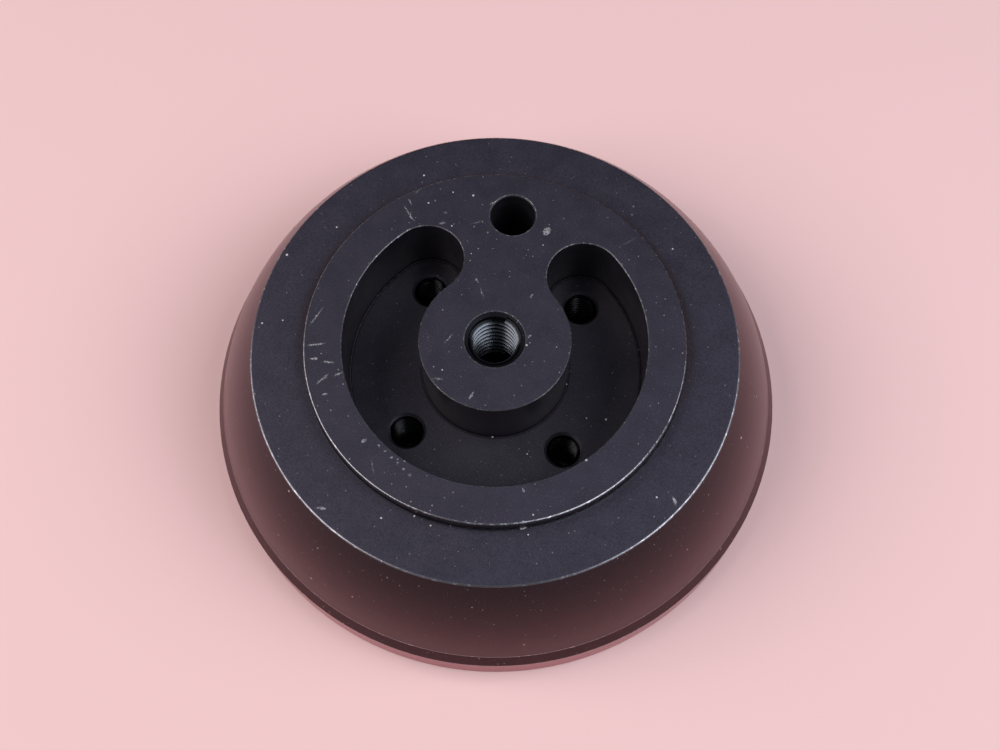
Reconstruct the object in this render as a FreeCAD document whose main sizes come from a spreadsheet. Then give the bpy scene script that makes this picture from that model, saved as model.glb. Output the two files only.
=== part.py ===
import FreeCAD, Part
import math
import os

import Sketcher

# A half-ball base turned and milled from one aluminium blank, with stainless wire inserts in its five
# tapped holes. Z points up from the wide flat face, Z = 0 is that face, and +Y points at the plain
# hole in the land between the two ends of the C-shaped pocket. All sizes are in millimetres.

SIZES = {
    # outside, from the wide face up
    "rim_radius": 55.0,
    "rim_height": 6.6,
    "rim_edge": 0.5,
    "bevel_height": 8.7,
    "ball_radius": 55.6,
    "ball_centre_drop": 5.5,
    "ring_height": 27.2,
    "ring_edge_radius": 0.45,
    "plateau_radius": 35.0,
    "plateau_edge_radius": 0.3,
    "plateau_foot_radius": 0.4,
    "full_height": 30.0,
    # C-shaped pocket, a slot of one width round the boss, with full-round ends
    "pocket_radius": 28.0,
    "boss_radius": 14.0,
    "floor_height": 16.4,
    "pocket_end_angle": 45.0,
    "pocket_edge": 0.15,
    "pocket_corner_fillet": 0.2,
    # plain hole in the land
    "key_hole_radius": 4.25,
    "key_hole_mouth": 4.5,
    "key_hole_offset": 26.1,
    # centre hole, tapped for a 3/8"-16 wire insert 1.5 diameters long
    "centre_bore": 4.95,
    "centre_mouth": 5.67,
    "centre_sink": 0.72,
    "centre_pitch": 1.5875,
    "centre_coil_length": 14.29,
    "centre_coil_depth": 1.0,
    "centre_coil_turn": 71.0,
    "centre_crest": 4.05,
    "centre_crest_half": 0.2,
    "centre_root": 4.87,
    "centre_root_half": 0.672,
    "centre_tip": 5.79,
    "centre_tip_half": 0.141,
    # floor holes, tapped for M6 wire inserts 1.5 diameters long
    "floor_circle_radius": 21.0,
    "floor_bore": 3.15,
    "floor_mouth": 3.65,
    "floor_sink": 0.5,
    "floor_pitch": 1.0,
    "floor_coil_length": 9.0,
    "floor_coil_depth": 0.7,
    "floor_coil_turn": 0.0,
    "floor_crest": 2.5,
    "floor_crest_half": 0.125,
    "floor_root": 3.05,
    "floor_root_half": 0.443,
    "floor_tip": 3.65,
    "floor_tip_half": 0.096,
    # clearances
    "thread_gap": 0.02,
    "exit_edge": 0.4,
}
FLOOR_INSERTS = ["rear_right", "rear_left", "front_left", "front_right"]
FLOOR_HOLES = len(FLOOR_INSERTS)
H_AXIS, V_AXIS = -1, -2
START, END, CENTRE = 1, 2, 3
ZERO = (0.0, None)

doc = FreeCAD.newDocument("half_ball_base")


def fill_sheet():
    """The driving dimensions, one alias to a row."""
    sheet = doc.addObject("Spreadsheet::Sheet", "sizes")
    for row, (alias, number) in enumerate(SIZES.items(), start=1):
        sheet.set(f"A{row}", alias)
        sheet.set(f"B{row}", str(number))
        sheet.setAlias(f"B{row}", alias)
    doc.recompute()
    return sheet


def at(*terms):
    """A length that adds up cells: "rim_radius", "-rim_edge" gives its value and its expression."""
    number = 0.0
    expression = ""
    for term in terms:
        sign = "-" if term.startswith("-") else "+"
        alias = term.lstrip("-")
        number += -SIZES[alias] if sign == "-" else SIZES[alias]
        expression += f" {sign} sizes.{alias}"
    return number, expression.lstrip(" +")


def free(number):
    """A length that the sketch's other constraints settle, near this number."""
    return number, None


def opposite(length):
    """The length the other way: the XZ plane's own Z axis points along -Y."""
    return (-length[0], f"-({length[1]})") if length[1] else ZERO


def role(body, name):
    """The body's own origin plane or axis with this role."""
    return next(f for f in body.Origin.OriginFeatures if f.Role == name)


def add_sketch(body, name, plane, x=ZERO, y=ZERO, z=ZERO, turn=None):
    """A sketch on one of the body's origin planes, with its origin moved to x, y, z in the plane's own axes
    and turned about its own Y axis by the angle in one of the sheet's cells."""
    sketch = body.newObject("Sketcher::SketchObject", name)
    sketch.AttachmentSupport = [(role(body, plane), "")]
    sketch.MapMode = "FlatFace"
    degrees = SIZES[turn] if turn else 0.0
    rotation = FreeCAD.Rotation(FreeCAD.Vector(0, 1, 0), degrees)
    sketch.AttachmentOffset = FreeCAD.Placement(FreeCAD.Vector(x[0], y[0], z[0]), rotation)
    for letter, length in (("x", x), ("y", y), ("z", z)):
        if length[1]:
            sketch.setExpression(f"AttachmentOffset.Base.{letter}", length[1])
    if degrees:
        sketch.setExpression("AttachmentOffset.Rotation.Angle", f"sizes.{turn} * 1 deg")
    return sketch


def bind(sketch, kind, geometry, vertex, length):
    """One driving constraint, bound to the sheet."""
    index = sketch.addConstraint(Sketcher.Constraint(kind, geometry, vertex, length[0]))
    sketch.setExpression(f"Constraints[{index}]", length[1])


def pin(sketch, geometry, vertex, x, y):
    """Holds a vertex at x, y: on an axis where the length is ZERO, and not at all where it is free."""
    for kind, length, axis in (("DistanceX", x, V_AXIS), ("DistanceY", y, H_AXIS)):
        if length is ZERO:
            sketch.addConstraint(Sketcher.Constraint("PointOnObject", geometry, vertex, axis))
        elif length[1]:
            bind(sketch, kind, geometry, vertex, length)


def radius(sketch, geometry, length):
    index = sketch.addConstraint(Sketcher.Constraint("Radius", geometry, length[0]))
    sketch.setExpression(f"Constraints[{index}]", length[1])


def outline(sketch, corners, arcs=None):
    """A closed outline through corners of (x, y). arcs turns the stretch after a corner into an arc that
    runs anticlockwise: corner number to (centre x, centre y, radius)."""
    arcs = arcs or {}
    count = len(corners)
    for number, (x, y) in enumerate(corners):
        next_x, next_y = corners[(number + 1) % count]
        first = FreeCAD.Vector(x[0], y[0], 0)
        last = FreeCAD.Vector(next_x[0], next_y[0], 0)
        if number in arcs:
            centre_x, centre_y, size = arcs[number]
            centre = FreeCAD.Vector(centre_x[0], centre_y[0], 0)
            circle = Part.Circle(centre, FreeCAD.Vector(0, 0, 1), size[0])
            from_angle = math.atan2(first.y - centre.y, first.x - centre.x)
            to_angle = math.atan2(last.y - centre.y, last.x - centre.x)
            sketch.addGeometry(Part.ArcOfCircle(circle, from_angle, to_angle), False)
        else:
            sketch.addGeometry(Part.LineSegment(first, last), False)
    for number in range(count):
        joint = Sketcher.Constraint("Coincident", number, END, (number + 1) % count, START)
        sketch.addConstraint(joint)
    for number, (x, y) in enumerate(corners):
        pin(sketch, number, START, x, y)
    for number, (centre_x, centre_y, size) in arcs.items():
        pin(sketch, number, CENTRE, centre_x, centre_y)
        radius(sketch, number, size)


def turned_blank(body):
    """The turned outside: rim, bevel, spherical flank, ring face and plateau, revolved about Z."""
    sketch = add_sketch(body, "turned_profile", "XZ_Plane")
    corners = [
        (ZERO, ZERO),
        (at("rim_radius", "-rim_edge"), ZERO),
        (at("rim_radius"), at("rim_edge")),
        (at("rim_radius"), at("rim_height")),
        (free(ball_radius_at("bevel_height")), at("bevel_height")),
        (free(ball_radius_at("ring_height")), at("ring_height")),
        (at("plateau_radius"), at("ring_height")),
        (at("plateau_radius"), at("full_height")),
        (ZERO, at("full_height")),
    ]
    flank = 4
    outline(sketch, corners, {flank: (ZERO, at("-ball_centre_drop"), at("ball_radius"))})
    blank = body.newObject("PartDesign::Revolution", "turned_blank")
    blank.Profile = sketch
    blank.ReferenceAxis = (sketch, ["V_Axis"])
    blank.Angle = 360.0
    doc.recompute()
    ring = round_edges(body, blank, "ring_edge", "ring_height", ball_radius_at("ring_height"))
    foot = round_edges(body, ring, "plateau_foot", "ring_height", SIZES["plateau_radius"])
    round_edges(body, foot, "plateau_edge", "full_height", SIZES["plateau_radius"])


def ball_radius_at(height):
    """The flank's radius from the Z axis at one of the sheet's heights."""
    return math.sqrt(SIZES["ball_radius"] ** 2 - (SIZES[height] + SIZES["ball_centre_drop"]) ** 2)


def round_edges(body, base, name, height, reach):
    """Rounds the edges of a turned corner at one height and this far from the Z axis."""
    names = []
    for number, edge in enumerate(base.Shape.Edges, start=1):
        box = edge.BoundBox
        level = abs(box.ZMin - SIZES[height]) < 0.01 and abs(box.ZMax - SIZES[height]) < 0.01
        away = max(math.hypot(vertex.X, vertex.Y) for vertex in edge.Vertexes)
        if level and abs(away - reach) < 0.01:
            names.append(f"Edge{number}")
    fillet = body.newObject("PartDesign::Fillet", name)
    fillet.Base = (base, names)
    fillet.Radius = SIZES[f"{name}_radius"]
    fillet.setExpression("Radius", f"sizes.{name}_radius")
    doc.recompute()
    return fillet


def c_pocket(body):
    """The pocket: one slot round the boss. Its full-round ends stand over the two rear floor holes."""
    sketch = add_sketch(body, "pocket_outline", "XY_Plane", z=at("full_height"))
    turn = math.radians(SIZES["pocket_end_angle"])
    outer = SIZES["pocket_radius"]
    inner = SIZES["boss_radius"]
    middle = (outer + inner) / 2
    up = FreeCAD.Vector(0, 0, 1)
    origin = FreeCAD.Vector(0, 0, 0)
    right = FreeCAD.Vector(middle * math.sin(turn), middle * math.cos(turn), 0)
    left = FreeCAD.Vector(-right.x, right.y, 0)
    right_angle = math.pi / 2 - turn
    left_angle = math.pi / 2 + turn
    round_again = right_angle + 2 * math.pi
    end_circle = (outer - inner) / 2
    stretches = [
        (origin, outer, left_angle, round_again),
        (right, end_circle, right_angle, right_angle + math.pi),
        (origin, inner, left_angle, round_again),
        (left, end_circle, left_angle - math.pi, left_angle),
    ]
    for centre, size, low, high in stretches:
        sketch.addGeometry(Part.ArcOfCircle(Part.Circle(centre, up, size), low, high), False)
    outer_arc, right_end, inner_arc, left_end = range(4)
    joints = [
        (outer_arc, END, right_end, START),
        (right_end, END, inner_arc, END),
        (inner_arc, START, left_end, START),
        (left_end, END, outer_arc, START),
    ]
    for joint in joints:
        sketch.addConstraint(Sketcher.Constraint("Tangent", *joint))
    pin(sketch, outer_arc, CENTRE, ZERO, ZERO)
    pin(sketch, inner_arc, CENTRE, ZERO, ZERO)
    radius(sketch, outer_arc, at("pocket_radius"))
    radius(sketch, inner_arc, at("boss_radius"))
    reach = "(sizes.pocket_radius + sizes.boss_radius) / 2 * sin(sizes.pocket_end_angle * 1 deg)"
    bind(sketch, "DistanceX", right_end, CENTRE, (right.x, reach))
    bind(sketch, "DistanceX", left_end, CENTRE, (left.x, "-" + reach))
    pocket = body.newObject("PartDesign::Pocket", "c_pocket")
    pocket.Profile = sketch
    pocket.Length = SIZES["full_height"] - SIZES["floor_height"]
    pocket.setExpression("Length", "sizes.full_height - sizes.floor_height")
    return pocket


def pocket_edges(shape, height):
    """Names of the pocket's edges that lie at one height."""
    names = []
    for number, edge in enumerate(shape.Edges, start=1):
        box = edge.BoundBox
        level = abs(box.ZMin - height) < 0.01 and abs(box.ZMax - height) < 0.01
        within = max(abs(box.XMin), box.XMax, abs(box.YMin), box.YMax) < SIZES["pocket_radius"] + 0.01
        if level and within:
            names.append(f"Edge{number}")
    return names


def dress_pocket(body, pocket):
    """A small radius where the cutter met the floor, and a deburred mouth."""
    doc.recompute()
    fillet = body.newObject("PartDesign::Fillet", "pocket_corner")
    fillet.Base = (pocket, pocket_edges(pocket.Shape, SIZES["floor_height"]))
    fillet.Radius = SIZES["pocket_corner_fillet"]
    fillet.setExpression("Radius", "sizes.pocket_corner_fillet")
    doc.recompute()
    chamfer = body.newObject("PartDesign::Chamfer", "pocket_deburr")
    chamfer.Base = (fillet, pocket_edges(fillet.Shape, SIZES["full_height"]))
    chamfer.Size = SIZES["pocket_edge"]
    chamfer.setExpression("Size", "sizes.pocket_edge")
    doc.recompute()
    return chamfer


def drilled_hole(body, name, mouth, sink, bore, top, x=ZERO, y=ZERO):
    """A through hole turned about its own axis: countersunk at its mouth and deburred where it leaves."""
    sketch = add_sketch(body, f"{name}_profile", "XZ_Plane", x=x, z=opposite(y))
    corners = [
        (ZERO, ZERO),
        (at(bore, "exit_edge"), ZERO),
        (at(bore), at("exit_edge")),
        (at(bore), (at(top)[0] - sink[0], f"sizes.{top} - ({sink[1]})")),
        (at(mouth), at(top)),
        (ZERO, at(top)),
    ]
    outline(sketch, corners)
    hole = body.newObject("PartDesign::Groove", name)
    hole.Profile = sketch
    hole.ReferenceAxis = (sketch, ["V_Axis"])
    hole.Angle = 360.0
    return hole


def coil_foot(top, kind):
    """Height of the middle of a coil's lowest turn."""
    return at(top, f"-{kind}_coil_depth", f"-{kind}_coil_length")


def helix(body, feature, name, sketch, kind):
    """A right-hand helix about the sketch's upright axis."""
    coil = body.newObject(feature, name)
    coil.Profile = sketch
    coil.ReferenceAxis = (sketch, ["V_Axis"])
    coil.Mode = 0
    coil.Pitch = SIZES[f"{kind}_pitch"]
    coil.Height = SIZES[f"{kind}_coil_length"]
    coil.setExpression("Pitch", f"sizes.{kind}_pitch")
    coil.setExpression("Height", f"sizes.{kind}_coil_length")
    coil.Angle = 0
    coil.Growth = 0
    coil.LeftHanded = False
    coil.Reversed = False
    return coil


def tapped_thread(body, name, kind, top, x=ZERO, y=ZERO):
    """The groove that the tap cuts for the outside of the insert's wire."""
    foot = coil_foot(top, kind)
    turn = f"{kind}_coil_turn"
    sketch = add_sketch(body, f"{name}_profile", "XZ_Plane", x=x, y=foot, z=opposite(y), turn=turn)
    wide = at(f"{kind}_root_half", "thread_gap")
    narrow = at(f"{kind}_tip_half", "thread_gap")
    wide_below = at(f"-{kind}_root_half", "-thread_gap")
    narrow_below = at(f"-{kind}_tip_half", "-thread_gap")
    inside = at(f"{kind}_root")
    outside = at(f"{kind}_tip", "thread_gap")
    outline(sketch, [(inside, wide_below), (outside, narrow_below), (outside, narrow), (inside, wide)])
    return helix(body, "PartDesign::SubtractiveHelix", name, sketch, kind)


def dome_body():
    """The machined aluminium body."""
    body = doc.addObject("PartDesign::Body", "dome_body")
    body.Label = "dome_body"
    turned_blank(body)
    dress_pocket(body, c_pocket(body))
    key_sink = at("key_hole_mouth", "-key_hole_radius")
    offset = at("key_hole_offset")
    drilled_hole(body, "key_hole", "key_hole_mouth", key_sink, "key_hole_radius", "full_height", y=offset)
    drilled_hole(body, "centre_hole", "centre_mouth", at("centre_sink"), "centre_bore", "full_height")
    tapped_thread(body, "centre_thread", "centre", "full_height")
    turn = math.radians(SIZES["pocket_end_angle"])
    circle = SIZES["floor_circle_radius"]
    hole_x = (circle * math.sin(turn), "sizes.floor_circle_radius * sin(sizes.pocket_end_angle * 1 deg)")
    hole_y = (circle * math.cos(turn), "sizes.floor_circle_radius * cos(sizes.pocket_end_angle * 1 deg)")
    hole = drilled_hole(
        body, "floor_hole", "floor_mouth", at("floor_sink"), "floor_bore", "floor_height", hole_x, hole_y
    )
    thread = tapped_thread(body, "floor_thread", "floor", "floor_height", hole_x, hole_y)
    doc.recompute()
    pattern = body.newObject("PartDesign::PolarPattern", "floor_holes")
    pattern.Originals = [hole, thread]
    pattern.Axis = (role(body, "Z_Axis"), [""])
    pattern.Angle = 360.0
    pattern.Occurrences = FLOOR_HOLES
    body.Tip = pattern
    return body


def wire_insert(label, kind):
    """A coil of diamond-section wire: its outside seats in the tapped hole and its inside is the thread."""
    body = doc.addObject("PartDesign::Body", label)
    body.Label = label
    sketch = add_sketch(body, f"{label}_wire", "XZ_Plane")
    inside = at(f"{kind}_crest", "-thread_gap")
    middle = at(f"{kind}_root")
    outside = at(f"{kind}_tip")
    corners = [
        (inside, at(f"-{kind}_crest_half")),
        (middle, at(f"-{kind}_root_half")),
        (outside, at(f"-{kind}_tip_half")),
        (outside, at(f"{kind}_tip_half")),
        (middle, at(f"{kind}_root_half")),
        (inside, at(f"{kind}_crest_half")),
    ]
    outline(sketch, corners)
    helix(body, "PartDesign::AdditiveHelix", f"{label}_coil", sketch, kind)
    doc.recompute()
    # the crest is a true cylinder, cut by a gauge bore whose wall is four quarter arcs
    gauge = add_sketch(body, f"{label}_gauge", "XY_Plane", z=at(f"-{kind}_pitch"))
    size = at(f"{kind}_crest")
    quarter = math.pi / 2
    circle = Part.Circle(FreeCAD.Vector(0, 0, 0), FreeCAD.Vector(0, 0, 1), size[0])
    for number in range(4):
        arc = Part.ArcOfCircle(circle, number * quarter, (number + 1) * quarter)
        gauge.addGeometry(arc, False)
    for number in range(4):
        first_axis, last_axis = (H_AXIS, V_AXIS) if number % 2 == 0 else (V_AXIS, H_AXIS)
        pin(gauge, number, CENTRE, ZERO, ZERO)
        gauge.addConstraint(Sketcher.Constraint("PointOnObject", number, START, first_axis))
        gauge.addConstraint(Sketcher.Constraint("PointOnObject", number, END, last_axis))
        radius(gauge, number, size)
    bore = body.newObject("PartDesign::Pocket", f"{label}_bore")
    bore.Profile = gauge
    bore.Reversed = True
    bore.Refine = False
    bore.Length = SIZES[f"{kind}_coil_length"] + 2 * SIZES[f"{kind}_pitch"]
    bore.setExpression("Length", f"sizes.{kind}_coil_length + 2 * sizes.{kind}_pitch")
    return body


def place(body, turn_degrees, x, y, z):
    """Moves an insert to its hole and turns it so that it starts where its thread starts."""
    rotation = FreeCAD.Rotation(FreeCAD.Vector(0, 0, 1), turn_degrees)
    body.Placement = FreeCAD.Placement(FreeCAD.Vector(x[0], y[0], z[0]), rotation)
    for letter, length in (("x", x), ("y", y), ("z", z)):
        if length[1]:
            body.setExpression(f"Placement.Base.{letter}", length[1])


def floor_insert(number):
    """One M6 insert, a quarter turn of the pattern on from the one before."""
    body = wire_insert(f"floor_thread_insert_{FLOOR_INSERTS[number]}", "floor")
    step = 360.0 / FLOOR_HOLES
    angle = 90.0 - SIZES["pocket_end_angle"] + number * step
    turn = f"(90 - sizes.pocket_end_angle + {number * step}) * 1 deg"
    circle = SIZES["floor_circle_radius"]
    x = (circle * math.cos(math.radians(angle)), f"sizes.floor_circle_radius * cos({turn})")
    y = (circle * math.sin(math.radians(angle)), f"sizes.floor_circle_radius * sin({turn})")
    place(body, SIZES["floor_coil_turn"] + number * step, x, y, coil_foot("floor_height", "floor"))
    return body


def check(nodes):
    """Stops if any object failed to build or any sub-part isn't one valid solid."""
    for thing in doc.Objects:
        if "Invalid" in thing.State or "Error" in thing.State:
            raise RuntimeError(f"{thing.Name} failed: {thing.State}")
    for node in nodes:
        shape = node.Shape
        if shape.isNull() or not shape.isValid() or len(shape.Solids) != 1:
            raise RuntimeError(f"{node.Label} isn't one valid solid")
        print(f"{node.Label}: {shape.Volume:.1f} mm3, {len(shape.Faces)} faces")


def main():
    fill_sheet()
    nodes = [dome_body()]
    centre = wire_insert("centre_thread_insert", "centre")
    place(centre, SIZES["centre_coil_turn"], ZERO, ZERO, coil_foot("full_height", "centre"))
    nodes.append(centre)
    nodes += [floor_insert(number) for number in range(FLOOR_HOLES)]
    doc.recompute()
    check(nodes)
    os.makedirs("parts", exist_ok=True)
    for node in nodes:
        node.Shape.exportStep(os.path.join("parts", node.Label + ".step"))


main()
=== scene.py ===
import math
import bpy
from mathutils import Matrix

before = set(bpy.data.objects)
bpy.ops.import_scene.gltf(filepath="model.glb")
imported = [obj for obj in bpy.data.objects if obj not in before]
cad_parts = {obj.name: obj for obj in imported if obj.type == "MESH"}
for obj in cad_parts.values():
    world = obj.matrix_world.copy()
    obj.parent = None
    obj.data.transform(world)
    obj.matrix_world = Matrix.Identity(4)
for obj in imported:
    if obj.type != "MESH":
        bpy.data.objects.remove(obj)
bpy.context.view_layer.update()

from types import SimpleNamespace

import bpy
from mathutils import Matrix, Vector

MM = 0.001

# camera: where it stands in the part's frame, how far it looks down, its turn about +Z and its roll
CAMERA_PLACE = Vector((13.9, -92.6, 237.9)) * MM
CAMERA_DOWN = math.radians(67.4)
CAMERA_TURN = math.radians(8.0)
CAMERA_ROLL = math.radians(0.57)
CAMERA_LENS = 45.0
SENSOR = 36.0

# the body's turned and milled features, in millimetres: radius and height of each turned edge
RING_EDGE = (45.0, 27.07)
PLATEAU_EDGE = (34.92, 29.92)
PLATEAU_FOOT = (35.1, 27.25)
RIM_TOP = (55.0, 6.6)
BEVEL_TOP = (53.76, 8.7)
RIM_FOOT = (54.75, 0.25)
# the C-shaped pocket is a slot about a circle, with floor holes under its two ends and opposite them
SLOT_MIDDLE = 21.0
SLOT_HALF = 7.0
SLOT_END = SLOT_MIDDLE * math.sqrt(0.5)
# the plain hole's distance from the axis and the radius of its mouth, then the centre hole's mouth
KEY_HOLE = (26.1, 4.5)
CENTRE_MOUTH = 5.67
# the crest and the root of the inserts' threads, as distances from their own axes
CENTRE_CREST, CENTRE_ROOT = 4.05, 4.87
FLOOR_CREST, FLOOR_ROOT = 2.5, 3.05
# heights: the pocket's floor, just below the ring face, and the plateau
FLOOR_HEIGHT = 16.4
TOP_FACES = 27.0
FULL_HEIGHT = 30.0

# where masks start and where they are full: heights, radii and distances in millimetres
TOP_BAND = (TOP_FACES - 0.2, TOP_FACES)
PLATEAU_BAND = (FULL_HEIGHT - 0.3, FULL_HEIGHT - 0.1)
FLANK_BORDER = (RING_EDGE[0] - 0.4, RING_EDGE[0] + 0.1)
FLANK_BAND = (TOP_FACES + 0.15, TOP_FACES - 0.25)
WALL_BORDER = (RIM_TOP[0] - 0.15, RIM_TOP[0] - 0.05)
WALL_BAND = (RIM_TOP[1], RIM_TOP[1] - 0.1)
WALL_FOOT = (0.3, 0.5)
COUNTERSINK = (CENTRE_MOUTH, CENTRE_MOUTH - 0.1)
# the same for how far a face's normal points up: faces that look up, level ones, and all but the underside
LOOKS_UP = (0.1, 0.5)
LEVEL = (0.75, 0.98)
NOT_BELOW = (-0.8, -0.3)

# noises: scale to the millimetre, detail and roughness
RAGGED_NOISE = (1.1, 4.0, 0.7)
MOTTLE_NOISE = (0.22, 4.0, 0.6)
SPECKLE_NOISE = (4.5, 2.0, 0.8)
WANDER_NOISE = (1.6, 3.0, 0.6)
TREMOR_NOISE = (4.5, 2.0, 0.7)
BREAK_NOISE = (3.5, 3.0, 0.7)
TURNING_NOISE = (5.0, 3.0, 0.6)
GRAIN_NOISE = (7.0, 2.0, 0.6)
WIRE_TINT_NOISE = (1.5, 4.0, 0.5)
WIRE_GRAIN_NOISE = (6.0, 3.0, 0.6)
# most of a noise's values lie in this span
NOISE_SPAN = (0.3, 0.7)

# how wide the wear is along each turned edge and the share of that width where it is full, then where it
# fades beside a milled edge, and the same for the painted shade in creases and beside the plateau's foot
EDGE_WIDTHS = [(RING_EDGE, 0.22), (PLATEAU_EDGE, 0.24), (RIM_TOP, 0.12), (BEVEL_TOP, 0.10), (RIM_FOOT, 0.3)]
EDGE_CORE = 0.35
SLOT_LINE = (0.22, 0.05)
HOLE_LINE = (0.12, 0.03)
# painted shade in creases: its width at the plateau's foot, then its reach and share in the pocket's floor
# corner
FOOT_CREASE_WIDTH = 0.45
CORNER_CREASE_SPAN = (0.6, 0.3)
CORNER_CREASE_SHARE = 0.8
# width of the painted shade beside the plateau's foot
FOOT_SHADE_WIDTH = 2.2
# the share of the painted shade beside the plateau's foot at two places in Y
FOOT_SHADE_FRONT, FOOT_SHADE_REAR = (-14.0, 0.0), (4.0, 0.8)

# the anodised film: its colour on the top faces, in the pocket and on the walls (darker there as painted
# shade) and on the flank (a painted reddish sheen), the painted shade beside the plateau's foot, its gloss
# and its skin
TOP_DARK, TOP_LIGHT = (0.0485, 0.045, 0.063, 1), (0.0565, 0.052, 0.073, 1)
POCKET_SHADE_DARK, POCKET_SHADE_LIGHT = (0.036, 0.034, 0.044, 1), (0.043, 0.041, 0.053, 1)
# the flank's colours, low and high, and the heights between which they change, paint a reddish sheen
FLANK_SHEEN_DARK, FLANK_SHEEN_LIGHT = (0.036, 0.011, 0.014, 1), (0.044, 0.015, 0.018, 1)
FLANK_SHEEN_HIGH = (0.018, 0.010, 0.015, 1)
FLANK_SHEEN_HEIGHTS = (12.0, 27.0)
# the warm, darker colour of the painted shade beside the plateau's foot
FOOT_SHADE_COLOUR = (0.055, 0.037, 0.044, 1)
FILM_METALLIC = 0.95
FILM_ROUGHNESS = (0.57, 0.63)
FLANK_ROUGHNESS = 0.50
FILM_IOR = 1.3
FILM_EDGE_TINT = (1.0, 0.64, 0.67, 1)
FILM_SPECKLE = (0.62, 1.38)
SKIN_ROUGHNESS = 0.28
SKIN_IOR = 1.3
# in the creases, at the plateau's foot and in the centre hole's countersink the film is darkened as painted
# shade, and there the skin is all but gone, as it is on the polished wall of the rim
CREASE_SHADE_LEVEL = 0.5
CREASE_AND_WALL_SKIN = 0.1
WALL_COLOUR = (0.165, 0.158, 0.162, 1)
WALL_ROUGHNESS = 0.15

# rubbed edges, lighter where polished and, towards the front, as a painted highlight, with their share at two
# places in Y, and the part of that share that is enough for their gloss
POLISH_HIGHLIGHT_COLOUR = (0.30, 0.30, 0.32, 1)
POLISH_ROUGHNESS = 0.30
POLISH_HIGHLIGHT_REAR, POLISH_HIGHLIGHT_FRONT = (6.0, 0.15), (-14.0, 0.55)
POLISH_ENOUGH = 0.6
# nicks and scratches go through to bare metal; noise breaks them up, but leaves a trace of them everywhere
BARE_DARK, BARE_LIGHT = (0.38, 0.38, 0.40, 1), (0.60, 0.60, 0.62, 1)
BARE_METALLIC = 0.8
BARE_TRACE = 0.12
RAGGED_SPAN = (0.50, 0.70)
BREAK_SPAN = (0.40, 0.58)
MARK_SPAN = (0.04, 0.55)

# dust: size of its cells, size of a speck, share of the cells that have one, seed and strength
DUST = [(1.2, 0.14, 0.65, 3.0, 0.34), (3.4, 0.24, 0.65, 11.0, 0.65), (0.5, 0.07, 0.60, 23.0, 0.16)]
DUST_COLOUR = (0.75, 0.73, 0.72, 1)
DUST_ROUGHNESS = 0.4
# the smallest and the faintest speck, as shares of the largest and the brightest, and how a seed moves them
SMALLEST_SPECK, FAINTEST_SPECK = 0.5, 0.25
SEED_STEPS = (1.0, 1.7, 0.3)

# depth of the bumps, in millimetres, and the shares of the turning rings and the grain
FILM_BUMP = 0.012
DUST_BUMP = 0.03
WIRE_BUMP = 0.01
RING_SHARE, GRAIN_SHARE = 0.35, 0.65

# the inserts' wire: bare steel in the centre hole, a dark coating in the floor holes
STEEL_DARK, STEEL_LIGHT = (0.075, 0.080, 0.092, 1), (0.115, 0.122, 0.140, 1)
COATED_DARK, COATED_LIGHT = (0.012, 0.012, 0.013, 1), (0.018, 0.018, 0.020, 1)
WIRE_ROUGHNESS = (0.20, 0.32)
# it darkens as painted shade from this far outside its crest to this far short of its root, unevenly, down to
# this share
CREST_BRIGHT, ROOT_DARK = 0.12, 0.15
UNEVEN = 0.3
ROOT_SHADE = 0.08

# the studio
FLOOR_HALF = 3.0
FLOOR_COLOUR = (0.80, 0.525, 0.52, 1)
FLOOR_ROUGHNESS = 0.9
CEILING_COLOUR = (0.80, 0.82, 1.0, 1)
CEILING_STRENGTH = 0.14
SOFTBOX_DISTANCE = 0.85
SOFTBOX_POWER = 6.2
# each softbox's name, azimuth and elevation in degrees, width and height in metres, and colour
SOFTBOXES = [
    ("right", -14.0, 47.0, (0.75, 0.62), (0.90, 0.95, 1.0)),
    ("left", 186.0, 46.0, (0.85, 0.62), (1.0, 0.96, 0.95)),
]

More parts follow.
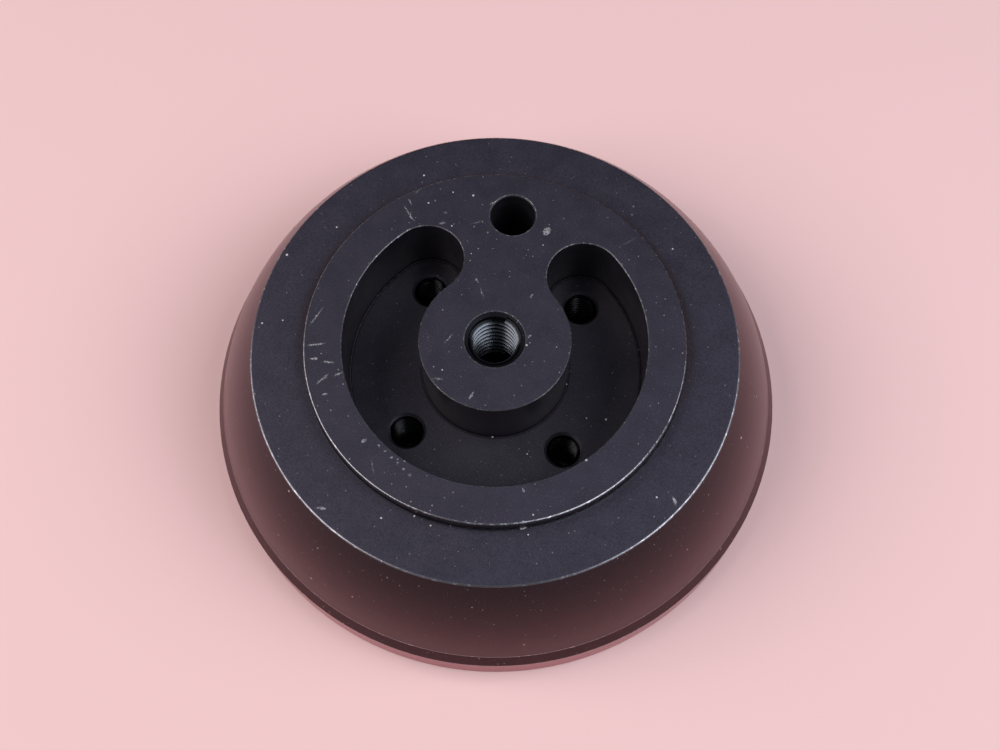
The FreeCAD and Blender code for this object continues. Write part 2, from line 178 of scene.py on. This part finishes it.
# bright marks on the upper faces, in millimetres: where each starts and ends, its width and its strength
MARKS = [
    (-21.4, 26.0, -18.0, 21.9, 0.34, 0.9),
    (-20.5, 27.4, -19.2, 25.5, 0.45, 0.5),
    (-19.3, 28.2, -18.3, 29.7, 0.35, 0.4),
    (-5.5, 12.3, -4.3, 10.8, 0.30, 0.9),
    (-4.5, 11.0, -2.8, 7.2, 0.30, 0.45),
    (-8.7, 22.5, -4.6, 24.8, 0.40, 0.32),
    (-34.4, -2.2, -31.8, 3.2, 0.40, 0.60),
    (-34.1, -5.8, -30.2, -4.6, 0.50, 0.95),
    (-32.8, -8.2, -31.1, -7.9, 0.65, 0.95),
    (-30.5, -8.4, -28.0, -8.3, 0.50, 0.75),
    (-31.0, -13.3, -28.5, -10.2, 0.60, 0.65),
    (-27.9, -11.1, -26.1, -9.7, 0.50, 0.70),
    (-29.4, -14.9, -28.2, -14.4, 0.55, 0.85),
    (-7.4, 0.6, -9.3, -2.4, 0.30, 0.55),
    (-10.2, -9.0, -7.7, -9.2, 0.45, 0.45),
    (-3.1, -12.4, -2.3, -10.6, 0.55, 1.0),
    (5.3, 8.9, 5.9, 10.2, 0.45, 0.9),
    (5.8, 1.1, 6.6, 1.7, 0.45, 0.9),
    (-21.0, -22.9, -19.8, -22.1, 0.75, 0.9),
    (-18.6, -25.3, -17.4, -28.5, 0.32, 0.45),
    (8.3, -27.3, 9.0, -28.4, 0.45, 0.8),
    (8.8, -34.0, 10.1, -33.3, 0.95, 1.0),
    (34.7, -24.5, 35.5, -26.6, 0.75, 1.0),
    (-27.1, -34.9, -24.9, -34.7, 0.75, 0.95),
    (20.0, 21.4, 24.7, 24.9, 0.40, 0.28),
    (6.1, 23.7, 7.5, 23.1, 2.20, 1.60),
    (-13.4, 25.1, -12.2, 25.0, 0.80, 0.45),
    (-14.0, 22.4, -12.2, 22.9, 0.70, 0.55),
    (-4.4, 28.4, -3.9, 28.0, 0.55, 2.5),
]
# small dents left by one slip of a tool: the row's first and last, how many, and the size and strength of one
DENT_ROW = ((-17.8, -23.2), (-11.6, -27.7), 6, 0.6, 0.6)
# how far a mark strays from its straight line, in long waves and in short ones
WANDER = (0.7, 0.7, 0.0)
TREMOR = (0.45, 0.45, 0.0)


def add_camera():
    """A camera with no shift and no depth of field, looking down at the part from its -Y side."""
    forward = Vector((0.0, math.cos(CAMERA_DOWN), -math.sin(CAMERA_DOWN)))
    right = Vector((1.0, 0.0, 0.0))
    down = forward.cross(right)
    rolled_right = right * math.cos(CAMERA_ROLL) + down * math.sin(CAMERA_ROLL)
    rolled_up = right * math.sin(CAMERA_ROLL) - down * math.cos(CAMERA_ROLL)
    axes = Matrix((rolled_right, rolled_up, -forward)).transposed()
    data = bpy.data.cameras.new("camera")
    data.lens = CAMERA_LENS
    data.sensor_width = SENSOR
    camera = bpy.data.objects.new("camera", data)
    turn = Matrix.Rotation(CAMERA_TURN, 3, "Z")
    camera.matrix_world = Matrix.Translation(CAMERA_PLACE) @ (turn @ axes).to_4x4()
    bpy.context.scene.collection.objects.link(camera)
    bpy.context.scene.camera = camera


class Graph:
    """A material's node tree, with a short method for each kind of node that the materials use."""

    def __init__(self, name):
        self.material = bpy.data.materials.new(name)
        self.material.use_nodes = True
        self.tree = self.material.node_tree
        self.tree.nodes.clear()

    def node(self, kind, **settings):
        made = self.tree.nodes.new(kind)
        for key, value in settings.items():
            setattr(made, key, value)
        return made

    def feed(self, socket, value):
        """Links an output into a socket, or sets the socket's own value."""
        if isinstance(value, bpy.types.NodeSocket):
            self.tree.links.new(value, socket)
        else:
            socket.default_value = value

    def millimetres(self):
        """The place on the part, in its own frame."""
        return self.scaled(self.node("ShaderNodeTexCoord").outputs["Object"], 1 / MM)

    def math(self, operation, *values, clamp=False):
        made = self.node("ShaderNodeMath", operation=operation, use_clamp=clamp)
        for socket, value in zip(made.inputs, values):
            self.feed(socket, value)
        return made.outputs[0]

    def vector(self, operation, *values):
        made = self.node("ShaderNodeVectorMath", operation=operation)
        for socket, value in zip(made.inputs, values):
            self.feed(socket, value)
        return made.outputs["Value" if operation in ("LENGTH", "DISTANCE") else "Vector"]

    def scaled(self, vector, factor):
        made = self.node("ShaderNodeVectorMath", operation="SCALE")
        self.feed(made.inputs["Vector"], vector)
        self.feed(made.inputs["Scale"], factor)
        return made.outputs["Vector"]

    def parts(self, vector):
        made = self.node("ShaderNodeSeparateXYZ")
        self.feed(made.inputs[0], vector)
        return made.outputs

    def joined(self, x, y, z):
        made = self.node("ShaderNodeCombineXYZ")
        for socket, value in zip(made.inputs, (x, y, z)):
            self.feed(socket, value)
        return made.outputs[0]

    def noise(self, where, kind, output="Fac"):
        scale, detail, roughness = kind
        made = self.node("ShaderNodeTexNoise")
        self.feed(made.inputs["Vector"], where)
        made.inputs["Scale"].default_value = scale
        made.inputs["Detail"].default_value = detail
        made.inputs["Roughness"].default_value = roughness
        return made.outputs[output]

    def ramp(self, value, low, high, out_low=0.0, out_high=1.0, smooth=True):
        """Maps low..high to out_low..out_high and holds it there outside that range."""
        made = self.node("ShaderNodeMapRange", clamp=True)
        made.interpolation_type = "SMOOTHSTEP" if smooth else "LINEAR"
        ends = {"From Min": low, "From Max": high, "To Min": out_low, "To Max": out_high}
        for socket, number in ends.items():
            self.feed(made.inputs[socket], number)
        self.feed(made.inputs["Value"], value)
        return made.outputs["Result"]

    def mix(self, share, first, second):
        """A colour between two, by share."""
        made = self.node("ShaderNodeMix", data_type="RGBA")
        self.feed(made.inputs[0], share)
        self.feed(made.inputs[6], first)
        self.feed(made.inputs[7], second)
        return made.outputs[2]

    def largest(self, values):
        result = values[0]
        for value in values[1:]:
            result = self.math("MAXIMUM", result, value)
        return result

    def product(self, *values):
        result = values[0]
        for value in values[1:]:
            result = self.math("MULTIPLY", result, value)
        return result

    def stroke(self, place, start, end, width, strength, below):
        """A thin ellipse from start to end, full in the middle and gone at its edge, added to below."""
        middle = (start + end) / 2
        run = end - start
        placed = self.node("ShaderNodeMapping", vector_type="TEXTURE")
        self.feed(placed.inputs["Vector"], place)
        placed.inputs["Location"].default_value = (middle.x, middle.y, 0.0)
        placed.inputs["Rotation"].default_value = (0.0, 0.0, math.atan2(run.y, run.x))
        placed.inputs["Scale"].default_value = (run.length / 2, width / 2, 1.0)
        shape = self.node("ShaderNodeTexGradient", gradient_type="SPHERICAL")
        self.feed(shape.inputs["Vector"], placed.outputs["Vector"])
        return self.math("MULTIPLY_ADD", shape.outputs["Fac"], strength, below)

    def specks(self, place, cell, size, share, seed):
        """Round specks, one to a cell of this size at most, and only in this share of the cells."""
        moved = self.vector("ADD", place, tuple(seed * step for step in SEED_STEPS))
        made = self.node("ShaderNodeTexVoronoi", feature="F1")
        self.feed(made.inputs["Vector"], moved)
        made.inputs["Scale"].default_value = 1 / cell
        chance = self.parts(made.outputs["Color"])
        smallest = size * SMALLEST_SPECK
        reach = self.ramp(chance[0], 0.0, 1.0, smallest / cell, size / cell, smooth=False)
        spot = self.math("LESS_THAN", made.outputs["Distance"], reach)
        kept = self.math("LESS_THAN", chance[1], share)
        return self.product(spot, kept, self.ramp(chance[2], 0.0, 1.0, FAINTEST_SPECK, 1.0))

    def bump(self, height, depth, normal=None):
        """A bump this many millimetres deep, over another normal where one is given."""
        made = self.node("ShaderNodeBump")
        made.inputs["Distance"].default_value = depth * MM
        self.feed(made.inputs["Height"], height)
        if normal is not None:
            self.feed(made.inputs["Normal"], normal)
        return made.outputs["Normal"]

    def finish(self, bsdf):
        output = self.node("ShaderNodeOutputMaterial")
        self.tree.links.new(bsdf.outputs[0], output.inputs["Surface"])
        return self.material


def slot_distance(g, x, y, r):
    """Distance in plan from the middle line of the C-shaped pocket's slot."""
    side = g.math("ABSOLUTE", x)
    in_land = g.math("LESS_THAN", side, y)
    from_end = g.vector("DISTANCE", g.joined(side, y, 0.0), (SLOT_END, SLOT_END, 0.0))
    from_ring = g.math("ABSOLUTE", g.math("SUBTRACT", r, SLOT_MIDDLE))
    nearest = g.node("ShaderNodeMix", data_type="FLOAT")
    g.feed(nearest.inputs[0], in_land)
    g.feed(nearest.inputs[2], from_ring)
    g.feed(nearest.inputs[3], from_end)
    return nearest.outputs[0]


def body_point(g):
    """What the body's masks share: where a point lies, which way it faces, and two large noises."""
    place = g.millimetres()
    x, y, z = g.parts(place)
    plan = g.joined(x, y, 0.0)
    r = g.vector("LENGTH", plan)
    slope = g.parts(g.node("ShaderNodeNewGeometry").outputs["Normal"])[2]
    return SimpleNamespace(
        place=place,
        y=y,
        z=z,
        plan=plan,
        r=r,
        slot=slot_distance(g, x, y, r),
        slope=slope,
        upward=g.ramp(slope, *LOOKS_UP),
        top_face=g.ramp(z, *TOP_BAND),
        ragged=g.noise(place, RAGGED_NOISE),
        mottle=g.noise(place, MOTTLE_NOISE),
    )


def gap(g, distance, reach):
    """How far a distance is from this reach, either way."""
    return g.math("ABSOLUTE", g.math("SUBTRACT", distance, reach))


def away_from(g, across, corner, z, height):
    """Distance from a corner that runs round the part, in its cross-section."""
    squares = [
        g.math("POWER", g.math("SUBTRACT", across, corner), 2.0),
        g.math("POWER", g.math("SUBTRACT", z, height), 2.0),
    ]
    return g.math("SQRT", g.math("ADD", *squares))


def edge_line(g, p, edge, width):
    """1 along a turned edge and 0 past this width from it."""
    return g.ramp(away_from(g, p.r, edge[0], p.z, edge[1]), width, width * EDGE_CORE)


def share_along_y(g, p, first, second):
    """A share that changes along Y: first and second are each a place in Y and the share there."""
    return g.ramp(p.y, first[0], second[0], first[1], second[1])


def rubbed_edges(g, p):
    """1 along the turned edges, the pocket's edge and the mouths of the two holes on the plateau."""
    plateau = g.ramp(p.z, *PLATEAU_BAND)
    key_axis = g.vector("DISTANCE", p.plan, (0.0, KEY_HOLE[0], 0.0))
    milled = [
        g.ramp(gap(g, p.slot, SLOT_HALF), *SLOT_LINE),
        g.ramp(gap(g, key_axis, KEY_HOLE[1]), *HOLE_LINE),
        g.ramp(gap(g, p.r, CENTRE_MOUTH), *HOLE_LINE),
    ]
    turned = [edge_line(g, p, edge, width) for edge, width in EDGE_WIDTHS]
    return g.largest(turned + [g.product(line, plateau) for line in milled])


def painted_crease_shade(g, p):
    """Painted shade in the pocket's floor corner, at the plateau's foot and in the centre hole's countersink.
    """
    corner = away_from(g, p.slot, SLOT_HALF, p.z, FLOOR_HEIGHT)
    return g.largest([
        g.ramp(corner, *CORNER_CREASE_SPAN, 0.0, CORNER_CREASE_SHARE),
        edge_line(g, p, PLATEAU_FOOT, FOOT_CREASE_WIDTH),
        g.ramp(p.r, *COUNTERSINK),
    ])


def scratches(g, p):
    """The marks and the row of dents, wavering and broken up, on the faces that look up."""
    middle_grey = (0.5, 0.5, 0.5)
    wander = g.vector("SUBTRACT", g.noise(p.place, WANDER_NOISE, "Color"), middle_grey)
    tremor = g.vector("SUBTRACT", g.noise(p.place, TREMOR_NOISE, "Color"), middle_grey)
    drawn = g.vector("MULTIPLY_ADD", wander, WANDER, p.plan)
    drawn = g.vector("MULTIPLY_ADD", tremor, TREMOR, drawn)
    marks = 0.0
    for x0, y0, x1, y1, width, strength in MARKS:
        marks = g.stroke(drawn, Vector((x0, y0)), Vector((x1, y1)), width, strength, marks)
    first, last, count, size, strength = DENT_ROW
    for number in range(count):
        start = Vector(first).lerp(Vector(last), number / (count - 1))
        marks = g.stroke(drawn, start, start + Vector((size, size / 2)), size, strength, marks)
    broken = g.ramp(g.noise(p.place, BREAK_NOISE), *BREAK_SPAN, BARE_TRACE, 1.0)
    return g.product(g.ramp(marks, *MARK_SPAN), broken, p.top_face, p.upward)


def settled_dust(g, p):
    """Fine specks and a few larger flecks, none on steep walls."""
    layers = []
    for cell, size, share, seed, strength in DUST:
        layers.append(g.math("MULTIPLY", g.specks(p.place, cell, size, share, seed), strength))
    return g.product(g.largest(layers), p.upward)


def film_colour(g, p, flank, crease_shade):
    """The dyed film: slate on the level top faces, darker in the pocket and on the walls as painted shade,
    with a painted reddish sheen down the flank, and a brown painted shade beside the plateau's foot, all but
    its front; painted shade in creases darkens it further."""
    share = g.ramp(p.mottle, *NOISE_SPAN)
    # a warm, darker band beside the plateau's foot, all but its front, painted as shade
    foot_shade_share = share_along_y(g, p, FOOT_SHADE_FRONT, FOOT_SHADE_REAR)
    foot_shade = g.product(edge_line(g, p, PLATEAU_FOOT, FOOT_SHADE_WIDTH), foot_shade_share)
    top = g.mix(foot_shade, g.mix(share, TOP_DARK, TOP_LIGHT), FOOT_SHADE_COLOUR)
    # darker film in the pocket and on every wall: painted shade
    pocket_shade = g.mix(share, POCKET_SHADE_DARK, POCKET_SHADE_LIGHT)
    # redder down the flank: a painted reddish sheen
    side = g.mix(g.ramp(p.z, *FLANK_SHEEN_HEIGHTS), g.mix(share, FLANK_SHEEN_DARK, FLANK_SHEEN_LIGHT), FLANK_SHEEN_HIGH)
    level = g.ramp(p.slope, *LEVEL)
    film = g.mix(flank, g.mix(g.product(p.top_face, level), pocket_shade, top), side)
    speckle = g.ramp(g.noise(p.place, SPECKLE_NOISE), *NOISE_SPAN, *FILM_SPECKLE, smooth=False)
    # speckled, and darkened where painted shade lies in the creases and the countersink
    return g.scaled(film, g.product(speckle, g.ramp(crease_shade, 0.0, 1.0, 1.0, CREASE_SHADE_LEVEL)))


def film_normal(g, p, dust):
    """Fine turning rings, a bead-smooth grain, and the dust standing on the surface."""
    rings = g.noise(g.joined(p.r, p.z, 0.0), TURNING_NOISE)
    grain = g.noise(p.place, GRAIN_NOISE)
    height = g.math("ADD", g.math("MULTIPLY", rings, RING_SHARE), g.math("MULTIPLY", grain, GRAIN_SHARE))
    return g.bump(dust, DUST_BUMP, g.bump(height, FILM_BUMP))


def anodised_black():
    """Dyed black anodising on turned and milled aluminium, with bright edges, partly a painted highlight,
    scratches, dents and dust, painted shade in its hollows and a painted reddish sheen on its flank.
    """
    g = Graph("anodised_black")
    p = body_point(g)
    flank = g.product(g.ramp(p.r, *FLANK_BORDER), g.ramp(p.z, *FLANK_BAND), g.ramp(p.slope, *NOT_BELOW))
    wall = g.product(g.ramp(p.r, *WALL_BORDER), g.ramp(p.z, *WALL_BAND), g.ramp(p.z, *WALL_FOOT))
    edges = rubbed_edges(g, p)
    # painted shade in the pocket's floor corner, at the plateau's foot and in the centre hole's countersink
    crease_shade = painted_crease_shade(g, p)
    dust = settled_dust(g, p)
    worn_through = g.product(edges, g.ramp(p.ragged, *RAGGED_SPAN, BARE_TRACE, 1.0))
    bare = g.largest([worn_through, scratches(g, p)])
    # polish on the edges, stronger towards the front as a painted highlight
    polish_and_highlight = g.product(edges, share_along_y(g, p, POLISH_HIGHLIGHT_REAR, POLISH_HIGHLIGHT_FRONT))

    colour = g.mix(polish_and_highlight, film_colour(g, p, flank, crease_shade), POLISH_HIGHLIGHT_COLOUR)
    colour = g.mix(wall, colour, WALL_COLOUR)
    colour = g.mix(bare, colour, g.mix(g.ramp(p.ragged, *NOISE_SPAN), BARE_DARK, BARE_LIGHT))
    colour = g.mix(dust, colour, DUST_COLOUR)

    metallic = g.largest([g.math("MULTIPLY", bare, BARE_METALLIC), wall, FILM_METALLIC])
    metallic = g.math("MULTIPLY", metallic, g.math("SUBTRACT", 1.0, dust))

    roughness = g.ramp(p.mottle, *NOISE_SPAN, *FILM_ROUGHNESS)
    roughness = g.ramp(flank, 0.0, 1.0, roughness, FLANK_ROUGHNESS, smooth=False)
    enough = POLISH_ENOUGH * POLISH_HIGHLIGHT_FRONT[1]
    roughness = g.ramp(polish_and_highlight, 0.0, enough, roughness, POLISH_ROUGHNESS, smooth=False)
    roughness = g.ramp(wall, 0.0, 1.0, roughness, WALL_ROUGHNESS, smooth=False)
    roughness = g.math("ADD", roughness, g.math("MULTIPLY", dust, DUST_ROUGHNESS), clamp=True)

    bsdf = g.node("ShaderNodeBsdfPrincipled")
    g.feed(bsdf.inputs["Base Color"], colour)
    g.feed(bsdf.inputs["Metallic"], metallic)
    g.feed(bsdf.inputs["Roughness"], roughness)
    g.feed(bsdf.inputs["Normal"], film_normal(g, p, dust))
    bsdf.inputs["IOR"].default_value = FILM_IOR
    bsdf.inputs["Specular Tint"].default_value = FILM_EDGE_TINT
    # the coat is all but gone under the painted shade in creases and on the rim's wall
    g.feed(bsdf.inputs["Coat Weight"], g.ramp(g.largest([crease_shade, wall]), 0.0, 1.0, 1.0, CREASE_AND_WALL_SKIN))
    bsdf.inputs["Coat Roughness"].default_value = SKIN_ROUGHNESS
    bsdf.inputs["Coat IOR"].default_value = SKIN_IOR
    return g.finish(bsdf)


def insert_wire(name, across, crest, root, dark, light):
    """Diamond-section wire, bright on its crest and darkened in its roots as painted shade. across gives the
    distance from the insert's own axis; crest and root are that distance at the thread's two ends."""
    g = Graph(name)
    place = g.millimetres()
    tint = g.noise(place, WIRE_TINT_NOISE)
    depth = g.math("ADD", across(g, place), g.math("MULTIPLY", tint, UNEVEN))
    shade = g.ramp(depth, crest + CREST_BRIGHT, root - ROOT_DARK, 1.0, ROOT_SHADE)
    bsdf = g.node("ShaderNodeBsdfPrincipled")
    g.feed(bsdf.inputs["Base Color"], g.scaled(g.mix(g.ramp(tint, *NOISE_SPAN), dark, light), shade))
    bsdf.inputs["Metallic"].default_value = 1.0
    g.feed(bsdf.inputs["Roughness"], g.ramp(tint, *NOISE_SPAN, *WIRE_ROUGHNESS))
    g.feed(bsdf.inputs["Normal"], g.bump(g.noise(place, WIRE_GRAIN_NOISE), WIRE_BUMP))
    return g.finish(bsdf)


def from_centre(g, place):
    """Distance from the centre hole's axis."""
    return g.vector("LENGTH", g.vector("MULTIPLY", place, (1.0, 1.0, 0.0)))


def from_floor_hole(g, place):
    """Distance from the nearest floor hole's axis."""
    folded = g.vector("MULTIPLY", g.vector("ABSOLUTE", place), (1.0, 1.0, 0.0))
    return g.vector("DISTANCE", folded, (SLOT_END, SLOT_END, 0.0))


def floor_material():
    """A plain matt pink, like the cloth that the part lies on."""
    g = Graph("floor")
    bsdf = g.node("ShaderNodeBsdfPrincipled")
    bsdf.inputs["Base Color"].default_value = FLOOR_COLOUR
    bsdf.inputs["Roughness"].default_value = FLOOR_ROUGHNESS
    return g.finish(bsdf)


def add_floor():
    """A square of plain floor at Z = 0."""
    half = FLOOR_HALF
    mesh = bpy.data.meshes.new("floor")
    corners = [(-half, -half, 0), (half, -half, 0), (half, half, 0), (-half, half, 0)]
    mesh.from_pydata(corners, [], [(0, 1, 2, 3)])
    floor = bpy.data.objects.new("floor", mesh)
    mesh.materials.append(floor_material())
    bpy.context.scene.collection.objects.link(floor)


def add_softbox(name, azimuth, elevation, size, colour):
    """An area light aimed at the part. Azimuth is measured from the camera's right, anticlockwise."""
    azimuth = math.radians(azimuth) + CAMERA_TURN
    elevation = math.radians(elevation)
    flat = SOFTBOX_DISTANCE * math.cos(elevation)
    height = SOFTBOX_DISTANCE * math.sin(elevation)
    data = bpy.data.lights.new(name, "AREA")
    data.shape = "RECTANGLE"
    data.size, data.size_y = size
    data.energy = SOFTBOX_POWER
    data.color = colour
    light = bpy.data.objects.new(name, data)
    light.location = (flat * math.cos(azimuth), flat * math.sin(azimuth), height)
    light.rotation_euler = (-light.location).to_track_quat("-Z", "Y").to_euler()
    bpy.context.scene.collection.objects.link(light)


def add_lights():
    """Two large softboxes, cool on the right and warm on the left, and a dim ceiling."""
    world = bpy.data.worlds.new("studio")
    world.use_nodes = True
    background = world.node_tree.nodes["Background"]
    background.inputs["Color"].default_value = CEILING_COLOUR
    background.inputs["Strength"].default_value = CEILING_STRENGTH
    bpy.context.scene.world = world
    for softbox in SOFTBOXES:
        add_softbox(*softbox)


def dress(node, material):
    """Gives a CAD node one material all over."""
    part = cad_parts[node]
    part.data.materials.clear()
    part.data.materials.append(material)


add_camera()
add_floor()
add_lights()
bpy.context.scene.view_settings.view_transform = "Standard"
black = anodised_black()
steel = insert_wire("insert_steel", from_centre, CENTRE_CREST, CENTRE_ROOT, STEEL_DARK, STEEL_LIGHT)
coated = insert_wire("insert_coated", from_floor_hole, FLOOR_CREST, FLOOR_ROOT, COATED_DARK, COATED_LIGHT)
own_materials = {"dome_body": black, "centre_thread_insert": steel}
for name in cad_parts:
    dress(name, own_materials.get(name, coated))
